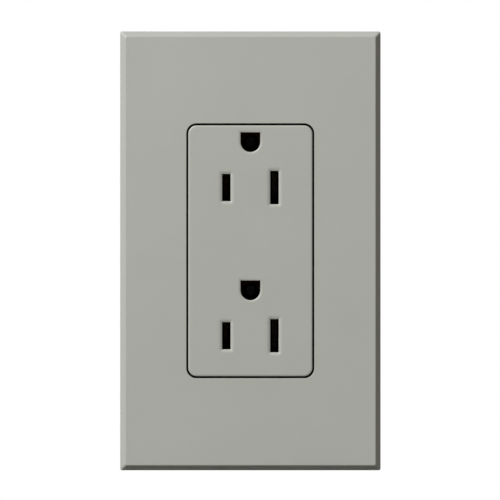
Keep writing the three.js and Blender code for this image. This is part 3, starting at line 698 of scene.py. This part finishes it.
def body_lips(body_width):
    """The four lips above and below the body, on both sides of the strap."""
    inner, outer = 8.3, body_width / 2
    lips = []
    for up in UPS.values():
        for side in (-1, 1):
            centre = (side * (inner + outer) / 2, up * 33.5)
            outline = rounded_rectangle(outer - inner, 3, 0.8, centre, 4)
            lips.append(prism(outline, SHOULDER_Y, SHOULDER_Y + 2, along_y))
    return lips


def socket_sleeves(inner):
    """The sleeves behind the slots and the ground holes, which guide the blades to the contacts."""
    sleeves = []
    for z in SOCKETS.values():
        for side, height in SIDES.values():
            outline = rounded_rectangle(SLOT_WIDTH + 2, height + 2, 0.4, (side * BLADE_X, z), 3)
            sleeves.append(prism(outline, inner, -1.5, along_y))
        guide = [(x, min(top, BODY_HEIGHT / 2 - 0.5)) for x, top in ground_hole(z + GROUND_RISE, 1)]
        sleeves.append(prism(guide, inner, 0, along_y))
    return sleeves


def face_cover():
    low, high = span("face_cover")
    front, body_width = low.y, high.x - low.x
    hollow = block((-14.6, 14.6), (front + 2.5, 2.4), (-ROOM_Z, ROOM_Z))
    cavity = interior(2.2, SEAM_Y + SLIP)
    shell = add(face_block(front, body_width), *body_lips(body_width))
    shell = cut(shell, hollow, cavity, *side_pockets())
    inner = front + 2.2
    posts = [rod(BOSS, inner, SEAM_Y - GAP, (0, z), along_y) for z in BOSS_Z]
    bores = [rod(BORE, -2, SEAM_Y + SLIP, (0, z), along_y) for z in BOSS_Z]
    whole = cut(add(shell, *socket_sleeves(inner), *posts), *slot_cutters(front), *bores)
    stand_in("face_cover", whole, MATERIALS["face"])


def housing_block(front, width):
    """The housing's outside: a bevel at the seam and rounded edges at the back."""
    round_back = 0.8
    steps = 5
    rings = [
        (front, width - 0.3, BODY_HEIGHT - 0.3, 1.45),
        (front + 0.2, width, BODY_HEIGHT, BODY_CORNER),
    ]
    for step in range(steps + 1):
        turn = step / steps * math.pi / 2
        inset = round_back * (1 - math.cos(turn))
        y = BODY_BACK - round_back * (1 - math.sin(turn))
        rings.append((y, width - 2 * inset, BODY_HEIGHT - 2 * inset, BODY_CORNER))
    return solid([[along_y(x, z, y) for x, z in rounded_rectangle(w, h, r)] for y, w, h, r in rings])


def terminal_ways(side, up):
    """What one terminal needs in the housing: two wire holes, its screw's hole and its web's slot."""
    tools = []
    for step in (-1, 1):
        centre = (side * 17.6, up * TERMINAL_Z + step * WIRE_OFFSET)
        lines = [circle(radius, centre) for radius in (1.8, 1.8, 2.35)]
        tools.append(tapered(lines, (17, BODY_BACK - 0.6, BODY_BACK + 0.02), along_y))
    screw_centre = (TERMINAL_Y, up * TERMINAL_Z)
    tools.append(rod(LAND_HOLE, side * 12, side * (POCKET_X + 0.5), screw_centre, along_x))
    web = (up * 12.95, up * 17.65)
    tools.append(block((side * 12, side * (POCKET_X + SLIP)), (SEAM_Y, 17.85), web))
    return tools


def back_marks(side):
    """Shallow moulded marks on one side of the back: ejector pins, a strip gauge and two panels."""
    tools = []
    for up in UPS.values():
        tools.append(rod(1.5, BODY_BACK - 0.15, BODY_BACK + SLIP, (side * 12.5, up * 29.4), along_y))
        panel = rounded_rectangle(3.6, 8, 0.6, (side * 12.4, up * 20.5))
        tools.append(prism(panel, BODY_BACK - 0.3, BODY_BACK + SLIP, along_y))
    gauge = rounded_rectangle(1.2, 14, 0.5, (side * 12.6, 0))
    tools.append(prism(gauge, BODY_BACK - 0.5, BODY_BACK + SLIP, along_y))
    return tools


def rear_housing():
    low, high = span("rear_housing")
    front, floor = SEAM_Y + 0.02, BODY_BACK - 2.05
    shell = cut(housing_block(front, high.x - low.x), interior(front - SLIP, floor), *side_pockets())
    posts = [rod(BOSS, front, floor + 0.5, (0, z), along_y) for z in BOSS_Z]
    tools = [rod(BORE, front - SLIP, BODY_BACK + SLIP, (0, z), along_y) for z in BOSS_Z]
    for side in (-1, 1):
        for up in UPS.values():
            tools += terminal_ways(side, up)
        tools += back_marks(side)
    for z in SOCKETS.values():
        foot = (z + GROUND_RISE - 4.3, z + GROUND_RISE + 2.95)
        tools.append(block((-4.8, 4.8), (floor - SLIP, BODY_BACK + SLIP), foot))
    whole = cut(add(shell, *posts), *tools)
    stand_in("rear_housing", whole, MATERIALS["housing"], edge=0.18)


# ---------------------------------------------------------------- contacts


LAND = (15, 16)         # inner and outer face of a terminal land, out from the middle
WEB_Y = (17, 17.8)      # front and back of the webs that join the lands to the blade grips


def terminal_lands(side):
    """Both lands of one side, with the break-off tab and its necks between them."""
    faces = [side * x for x in LAND]
    lands = []
    for up in UPS.values():
        outline = rounded_rectangle(13.4, 13.2, 0.8, (11.1, up * TERMINAL_Z), 4)
        lands.append(prism(outline, *faces, along_x))
        lands.append(block(faces, (9.4, 11.6), (up * 2, up * 5)))
    lands.append(prism(rounded_rectangle(5, 4.8, 0.5, (10.5, 0), 4), *faces, along_x))
    return lands


def contact_webs(side):
    """The flat webs behind the blade grips, each as (low, high) out from the middle and in height."""
    upper, lower = SOCKETS["upper"], SOCKETS["lower"]
    plates = [
        ((12, LAND[1]), (13, 17.6)),
        ((4, 13), (upper - 4, upper + 4)),
        ((9, LAND[1]), (-17.6, -13)),
        ((4, 11), (lower - 4, -13)),
    ]
    return [block([side * x for x in reach], WEB_Y, z) for reach, z in plates]


def blade_grips(side, height):
    """Two facing spring leaves behind each flat slot, waisted and flared at the mouth."""
    line = filleted([(1.5, 17.4, 0), (1.5, 9, 4), (0.95, 2.6, 1.2), (2.1, -1, 0)], 4)
    half = height / 2 - 0.3
    grips = []
    for z in SOCKETS.values():
        for leaf in (-1, 1):
            path = [(side * BLADE_X + leaf * out, y) for out, y in line]
            grips.append(ribbon(path, 0.7, z - half, z + half, along_z))
    return grips


def contact_strip(name, side, height, metal):
    parts = terminal_lands(side) + contact_webs(side) + blade_grips(side, height)
    strip = add(parts[0], *parts[1:])
    inner, outer = side * (LAND[0] - 1), side * (LAND[1] + 1)
    tools = [block((inner, outer), (10.1, 10.9), (-1.5, 1.5))]
    proud, deep = side * (LAND[1] + 0.1), side * (LAND[1] - 0.3)
    for up in UPS.values():
        tools.append(rod(LAND_HOLE, inner, outer, (TERMINAL_Y, up * TERMINAL_Z), along_x))
        score = [(proud, up * 2.9), (deep, up * 3.2), (proud, up * 3.5)]
        tools.append(prism(score, 8, 13, along_y))
    stand_in(f"{name}_contact_strip", cut(strip, *tools), metal, edge=0.08, segments=1)


def ground_contact(level, blade_z):
    """The bronze clip for a ground pin: two leaves that stand on a foot."""
    node = f"ground_contact_{level}"
    back = span(node)[1].y
    centre = blade_z + GROUND_RISE
    leaf_z = centre - 0.2
    foot_outline = rounded_rectangle(9, 6.65, 0.6, (0, centre - 0.675), 4)
    foot = prism(foot_outline, back - 0.9, back, along_y)
    line = filleted([(2.95, back - 0.5, 0), (2.95, 9, 3), (2.6, 4, 1.5), (3.5, 0.6, 0)], 4)
    leaves = []
    for side in (-1, 1):
        path = [(side * out, y) for out, y in line]
        leaves.append(ribbon(path, 0.6, leaf_z - 2.65, leaf_z + 2.65, along_z))
    hole = rod(RIVET_HOLE, back - 2, back + SLIP, (0, centre), along_y)
    stand_in(node, cut(add(foot, *leaves), hole), MATERIALS["bronze"], edge=0.08, segments=1)


# ---------------------------------------------------------------- strap and clamps


STRAP = 1.2             # thickness of the strap's steel
LEG_Z = 34.1            # middle of the legs that run back past the body
LUG_X = -8              # the ground lug's face towards the middle
LUG_SCREW = (9, -40.2)  # y and z of the ground screw
THROUGH_EAR = (-3, 3)   # the depths between which a cutter goes through an ear
THROUGH_BACK = (21, 26)     # and through the strap's back


def strap_sheet(low, high):
    """The bent sheet before its outline is cut: ears on the wall, legs, and a back behind the body."""
    ear_y, back_y = low.y + STRAP / 2, high.y - STRAP / 2
    line = filleted([
        (ear_y, high.z, 0),
        (ear_y, LEG_Z, 1.4),
        (back_y, LEG_Z, 1.4),
        (back_y, -LEG_Z, 1.4),
        (ear_y, -LEG_Z, 1.4),
        (ear_y, -high.z, 0),
    ], steps=7)
    return ribbon(line, STRAP, low.x, high.x, along_x)


def strap_outline(width, end_z, deep):
    """The strap's front view as a solid: a narrow band, wider ears and their rounded wings."""
    ear_start = 37
    ear_height = end_z - ear_start
    shapes = []
    for up in UPS.values():
        ear = rounded_rectangle(19, ear_height, 2, (0, up * (ear_start + ear_height / 2)))
        wings = rounded_rectangle(width, 9.6, 4.4, (0, up * WING_Z), 10)
        shapes.append(prism(ear, *deep, along_y))
        shapes.append(prism(wings, *deep, along_y))
    return add(block((-8, 8), deep, (-ear_start - SLIP, ear_start + SLIP)), *shapes)


def ground_lug():
    """The folded tab below the body that carries the ground terminal, with its corners clipped."""
    middle = LUG_X - STRAP / 2
    line = filleted([(LUG_X + 1.4, -LEG_Z, 0), (middle, -LEG_Z, 0.9), (middle, -45.2, 0)], steps=6)
    lug = ribbon(line, STRAP, 3, 15, along_y)
    corners = []
    for y, out in ((3, -1), (15, 1)):
        corner = [(y + out * 0.1, -45.4), (y + out * 0.1, -43.2), (y - out * 2.2, -45.4)]
        corners.append(prism(corner, -12, -6, along_x))
    return cut(lug, *corners)


def ear_tools(up, front):
    """The slot and holes of one ear, and the score lines that let its wings be snapped off."""
    slot = rounded_rectangle(7.4, 4.2, 2.05, (0, up * BOX_SCREW_Z), 8)
    tools = [prism(slot, *THROUGH_EAR, along_y)]
    tools.append(rod(SCREW_HOLE, *THROUGH_EAR, (0, up * PLATE_SCREW_Z), along_y))
    for side in (-1, 1):
        tools.append(rod(2, *THROUGH_EAR, (side * 13.2, up * WING_Z), along_y))
        x = side * 10.3
        for y, depth in ((front, 0.25), (0, -0.25)):
            groove = [(x - 0.35, y - depth * 0.1), (x, y + depth), (x + 0.35, y - depth * 0.1)]
            tools.append(prism(groove, up * 41, up * 52, along_z))
    return tools


def mounting_strap():
    low, high = span("mounting_strap")
    outline = strap_outline(high.x - low.x, high.z, (-6, high.y + 5))
    strap = combine(strap_sheet(low, high), [outline], "INTERSECT")
    bead_outline = rounded_rectangle(5, 10, 2.4, (0, -0.6))
    bead = prism(bead_outline, high.y - STRAP / 2, high.y + 0.35, along_y)
    strap = add(strap, ground_lug(), bead)
    tools = ear_tools(1, low.y) + ear_tools(-1, low.y)
    tools += [rod(BORE, *THROUGH_BACK, (0, z), along_y) for z in BOSS_Z]
    for z in SOCKETS.values():
        tools.append(rod(RIVET_HOLE, *THROUGH_BACK, (0, z + GROUND_RISE), along_y))
    tools.append(rod(LAND_HOLE, -11, -6, LUG_SCREW, along_x))
    stand_in("mounting_strap", cut(strap, *tools), MATERIALS["steel"], edge=0.14)


def clipped_rectangle(centre, width, height, clip):
    """A rectangle with its corners cut off, and what is left of them slightly rounded."""
    corners = []
    for right, top, on_side in ((1, 1, True), (1, 1, False), (-1, 1, False), (-1, 1, True),
                                (-1, -1, True), (-1, -1, False), (1, -1, False), (1, -1, True)):
        out = width / 2 - (0 if on_side else clip)
        rise = height / 2 - (clip if on_side else 0)
        corners.append((centre[0] + right * out, centre[1] + top * rise, 0.4))
    return filleted(corners, steps=3, closed=True)


def clamp_plate(node, centre, depth, height, inner_x, side, material):
    """A clamp plate with its corners clipped and a toothed groove for the wire beside the screw."""
    y, z = centre
    outer_x = inner_x + side * 1.4
    plate = prism(clipped_rectangle(centre, depth, height, 1.6), inner_x, outer_x, along_x)
    tools = [rod(LAND_HOLE, inner_x - side, outer_x + side, centre, along_x)]
    proud, deep = inner_x - side * 0.01, inner_x + side * 0.45
    for step in (-1, 1):
        groove_z = z + step * (height / 2 - 1.5)
        tools.append(rod(1.0, y - depth, y + depth, (inner_x - side * 0.5, groove_z), along_y, 20))
        for tooth in (-3, -1, 1, 3):
            at = y + tooth * depth / 9
            notch = [(proud, at - 0.3), (deep, at), (proud, at + 0.3)]
            tools.append(prism(notch, groove_z - 1.5, groove_z + 1.5, along_z))
    stand_in(node, cut(plate, *tools), material, edge=0.12)


# ---------------------------------------------------------------- fasteners

ROUND = 32      # sides of everything that is round in a fastener


def threaded(radius, start, end):
    """Rings of a screw thread along Y: one ridge winds round a core from start to end."""
    rings = []
    rows_per_turn = 8
    rows = round((end - start) / THREAD_PITCH * rows_per_turn)
    for row in range(rows + 1):
        y = start + (end - start) * row / rows
        fade = min(1.0, row / 6, (rows - row) / 8)
        ring = []
        for i in range(ROUND):
            phase = (y / THREAD_PITCH + i / ROUND) % 1
            ridge = min(1.0, max(0.0, 2.6 * (1 - abs(2 * phase - 1)) - 0.6) / 1.6 * 1.15)
            r = radius - THREAD_DEPTH * (1 - ridge * fade)
            turn = 2 * math.pi * i / ROUND
            ring.append(Vector((r * math.cos(turn), y, r * math.sin(turn))))
        rings.append(ring)
    return rings


def ring_at(radius, y):
    return [along_y(a, b, y) for a, b in circle(radius, sides=ROUND)]


def cross_recess(top, reach, depth):
    """The tapered cross of a screw's drive, cut down from the top of its head."""
    arms = []
    for turned in (False, True):
        lines = []
        for size in (1.0, 0.42):
            wide, narrow = reach * size, reach * 0.3 * size
            pair = (narrow, wide) if turned else (wide, narrow)
            lines.append(rounded_rectangle(*pair, min(pair) * 0.25, steps=2))
        arms.append(tapered(lines, (top + 0.05, top - depth), along_y))
    return arms


# Radius and height of the head, and radius and length of the shank.
TERMINAL_SCREW = {"head": 3.8, "head_height": 2, "shank": 2.08, "length": 6}
BOX_SCREW = {"head": 3.4, "head_height": 2.1, "shank": 1.75, "length": 20.6}
ADAPTER_SCREW = {"head": 3.3, "head_height": 1.6, "shank": 1.75, "length": 8}
ASSEMBLY_SCREW = {"head": 2.9, "head_height": 1.7, "shank": 1.5, "length": 24.6}


def screw(node, facing, seat, material, head, head_height, shank, length, slotted=True):
    """A domed machine screw with a cross drive, whose head stands on the seat and faces away from it."""
    rings = [ring_at(shank * 0.62, -length), ring_at(shank * 0.8, 0.35 - length)]
    rings += threaded(shank, 0.5 - length, -0.5)
    rings += [ring_at(shank * 0.86, -0.2), ring_at(shank * 0.86, 0)]
    rings += [ring_at(head - 0.12, 0), ring_at(head, 0.14)]
    low_dome = head_height * 0.42
    for step in range(8):
        turn = step / 7 * math.pi / 2
        y = low_dome + (head_height - low_dome) * math.sin(turn)
        rings.append(ring_at(head * (0.3 + 0.7 * math.cos(turn)), y))
    tools = []
    if slotted:
        tools.append(block((-head - 1, head + 1), (head_height * 0.5, head_height + 1), (-0.5, 0.5)))
    tools += cross_recess(head_height, head * 1.15, head_height * 0.75)
    stand_in(node, moved(cut(solid(rings), *tools), seat, facing), material)


def hex_screw(node, facing, seat, material):
    """The ground screw: a slotted hexagon on a washer flange."""
    rings = [ring_at(1.3, -6.2), ring_at(1.7, -5.8)]
    rings += threaded(2.08, -5.6, -0.5)
    profile = ((1.78, -0.2), (1.78, 0), (3.9, 0), (4.03, 0.15), (4.03, 0.5), (3.8, 0.72), (3.0, 0.8))
    rings += [ring_at(radius, y) for radius, y in profile]
    corners = [circle(radius, sides=6) for radius in (3.5, 3.5, 3.2)]
    crown = tapered(corners, (0.4, 1.75, 2.0), along_y)
    slot = block((-5, 5), (1.1, 3), (-0.5, 0.5))
    made = cut(add(solid(rings), crown), slot)
    stand_in(node, moved(made, seat, facing), material, edge=0.06, segments=1)


def rivet(level, blade_z):
    """A tubular rivet: a flanged head inside, and a rolled head on the back of the strap."""
    node = f"ground_rivet_{level}"
    low, high = span(node)
    inside = low.y + CLOSER
    seat = high.y - 1.0 - CLOSER
    profile = [(1.1, inside), (1.6, inside + 0.15), (1.95, inside + 0.6), (1.95, inside + 0.8)]
    profile += [(1.25, inside + 0.8), (1.25, seat), (2.25, seat), (2.3, seat + 0.12)]
    for step in range(7):
        turn = step / 6 * math.pi
        profile.append((1.6 + 0.7 * math.cos(turn), seat + 0.15 + 0.8 * math.sin(turn)))
    profile += [(0.85, seat - 0.6), (0.8, seat - 0.8)]
    made = solid([ring_at(radius, y) for radius, y in profile])
    stand_in(node, moved(made, (0, 0, blade_z + GROUND_RISE)), MATERIALS["steel"])


def washer(node, z, closer, openings):
    """A square washer round a box screw, cut through by more openings, set closer to the strap."""
    low, high = span(node)
    outline = rounded_rectangle(high.x - low.x, high.z - low.z, 0.8, (0, z))
    plate = prism(outline, low.y - closer, high.y - closer, along_y)
    tools = [rod(SCREW_HOLE, low.y - SLIP, high.y + SLIP, (0, z), along_y)]
    for outline in openings:
        tools.append(prism(outline, low.y - SLIP, high.y + SLIP, along_y))
    return cut(plate, *tools)


def retainer(node, z, closer):
    """A fibre washer, slit so that it grips the box screw's thread."""
    slits = [rounded_rectangle(wide, tall, 0.05, (0, z)) for wide, tall in ((6.4, 0.35), (0.35, 6.4))]
    stand_in(node, washer(node, z, closer, slits), MATERIALS["fibre"], edge=0.1)


def grounding_clip():
    """The bronze leaf that joins the upper box screw to the strap."""
    node = "self_grounding_clip"
    notches = [rounded_rectangle(1.4, 3.2, 0.6, (side * 4, BOX_SCREW_Z)) for side in (-1, 1)]
    stand_in(node, washer(node, BOX_SCREW_Z, CLOSER, notches), MATERIALS["bronze"], edge=0.08)


# ---------------------------------------------------------------- assembly

# Where the CAD has each clamp plate's inner face, and the seat of each screw's head.
CLAMP_X, TERMINAL_SEAT_X = 16.3, 18
GROUND_CLAMP_X, GROUND_SEAT_X = -9.5, -11.2
BOX_SEAT_Y, ADAPTER_SEAT_Y, ASSEMBLY_SEAT_Y = -1.5, -3.4, 23.8
STEEL = MATERIALS["steel"]

wall_plate()
plate_adapter()
face_cover()
rear_housing()
mounting_strap()
for name, (side, slot_height) in SIDES.items():
    metal = MATERIALS["brass" if name == "hot" else "nickel"]
    contact_strip(name, side, slot_height, metal)
    for level, up in UPS.items():
        middle = (TERMINAL_Y, up * TERMINAL_Z)
        clamp_plate(f"{name}_clamp_{level}", middle, 11.8, 12.4, side * (CLAMP_X - CLOSER), side, metal)
        seat = (side * (TERMINAL_SEAT_X - 2 * CLOSER), *middle)
        screw(f"{name}_screw_{level}", (side, 0, 0), seat, metal, **TERMINAL_SCREW)
clamp_plate("ground_clamp", LUG_SCREW, 10, 9.4, GROUND_CLAMP_X + CLOSER, -1, STEEL)
seat = (GROUND_SEAT_X + 2 * CLOSER, *LUG_SCREW)
hex_screw("ground_screw", (-1, 0, 0), seat, MATERIALS["green"])
for level, blade_z in SOCKETS.items():
    ground_contact(level, blade_z)
    rivet(level, blade_z)
for level, up in UPS.items():
    seat = (0, BOX_SEAT_Y + CLOSER, up * BOX_SCREW_Z)
    screw(f"box_screw_{level}", (0, -1, 0), seat, STEEL, **BOX_SCREW)
    seat = (0, ADAPTER_SEAT_Y + CLOSER, up * PLATE_SCREW_Z)
    screw(f"adapter_screw_{level}", (0, -1, 0), seat, STEEL, **ADAPTER_SCREW)
retainer("screw_retainer_upper", BOX_SCREW_Z, 2 * CLOSER)
retainer("screw_retainer_lower", -BOX_SCREW_Z, CLOSER)
grounding_clip()
for level, z in zip(UPS, BOSS_Z):
    seat = (0, ASSEMBLY_SEAT_Y - CLOSER, z)
    screw(f"assembly_screw_{level}", (0, 1, 0), seat, STEEL, slotted=False, **ASSEMBLY_SCREW)

# ---------------------------------------------------------------- stage, light and camera

FLOOR_Z = cad_box[0][2]
FLOOR_HALF = 3              # half of the floor's width, in metres
VIEW_WIDTH = 0.13195        # the photograph's width at the outlet, in metres
VIEW_CENTRE = (-0.0001, 0.00022)
TARGET = Vector((0, 0, 0))


def studio_floor():
    """A pale floor that takes the outlet's shadow and bounces no light back onto it."""
    mesh = bpy.data.meshes.new("studio_floor")
    corners = [(x * FLOOR_HALF, y * FLOOR_HALF, FLOOR_Z) for x, y in ((-1, -1), (1, -1), (1, 1), (-1, 1))]
    mesh.from_pydata(corners, [], [(0, 1, 2, 3)])
    floor = bpy.data.objects.new("studio_floor", mesh)
    bpy.context.scene.collection.objects.link(floor)
    recipe = Recipe("studio_floor", 0.8)
    pale = recipe.mix(recipe.noise(90, 3), (0.78, 0.78, 0.77), (0.82, 0.82, 0.81))
    rough = recipe.band(recipe.noise(30, 3), 0.3, 0.7, 0.75, 0.85)
    mesh.materials.append(recipe.finish(pale, rough))
    floor.visible_diffuse = False


def soft_light(name, direction, distance, size, power):
    data = bpy.data.lights.new(name, "AREA")
    data.shape = "DISK"
    data.size = size
    data.energy = power
    light = bpy.data.objects.new(name, data)
    bpy.context.scene.collection.objects.link(light)
    light.location = TARGET + Vector(direction).normalized() * distance
    light.rotation_euler = (TARGET - light.location).to_track_quat("-Z", "Y").to_euler()


def white_world(front, back, tint):
    """White behind everything. The light that it gives is dim and tinted, and dimmest from in front."""
    world = bpy.data.worlds.new("studio")
    bpy.context.scene.world = world
    world.use_nodes = True
    tree = world.node_tree
    background = tree.nodes["Background"]
    direction = tree.nodes.new("ShaderNodeTexCoord")
    rise = tree.nodes.new("ShaderNodeVectorMath")
    rise.operation = "DOT_PRODUCT"
    rise.inputs[1].default_value = (0.4, 0.8, 0.6)
    tree.links.new(direction.outputs["Generated"], rise.inputs[0])
    ambient = tree.nodes.new("ShaderNodeMapRange")
    for key, value in (("From Min", -0.5), ("From Max", 0.6), ("To Min", front), ("To Max", back)):
        ambient.inputs[key].default_value = value
    tree.links.new(rise.outputs["Value"], ambient.inputs["Value"])
    path = tree.nodes.new("ShaderNodeLightPath")
    level = tree.nodes.new("ShaderNodeMapRange")
    tree.links.new(path.outputs["Is Camera Ray"], level.inputs["Value"])
    tree.links.new(ambient.outputs["Result"], level.inputs["To Min"])
    level.inputs["To Max"].default_value = 1.0
    tree.links.new(level.outputs["Result"], background.inputs["Strength"])
    colour = tree.nodes.new("ShaderNodeMix")
    colour.data_type = "RGBA"
    colour.inputs[MIX_A].default_value = (*tint, 1)
    colour.inputs[MIX_B].default_value = (1, 1, 1, 1)
    tree.links.new(path.outputs["Is Camera Ray"], colour.inputs[MIX_FACTOR])
    tree.links.new(colour.outputs[MIX_RESULT], background.inputs["Color"])


def straight_camera():
    """Looks straight at the front, and is orthographic because the photo shows no perspective."""
    data = bpy.data.cameras.new("camera")
    data.type = "ORTHO"
    data.ortho_scale = VIEW_WIDTH
    camera = bpy.data.objects.new("camera", data)
    camera.location = (VIEW_CENTRE[0], -1.0, VIEW_CENTRE[1])
    camera.rotation_euler = (math.pi / 2, 0, 0)
    bpy.context.scene.collection.objects.link(camera)
    bpy.context.scene.camera = camera


studio_floor()
soft_light("key", (-0.53, -0.63, 0.565), distance=2.0, size=0.6, power=52)
soft_light("back", (0.5, 0.8, 0.45), distance=1.5, size=0.8, power=16)
white_world(front=0.07, back=0.2, tint=(1.07, 1.0, 0.89))
straight_camera()
bpy.context.scene.view_settings.view_transform = "Standard"
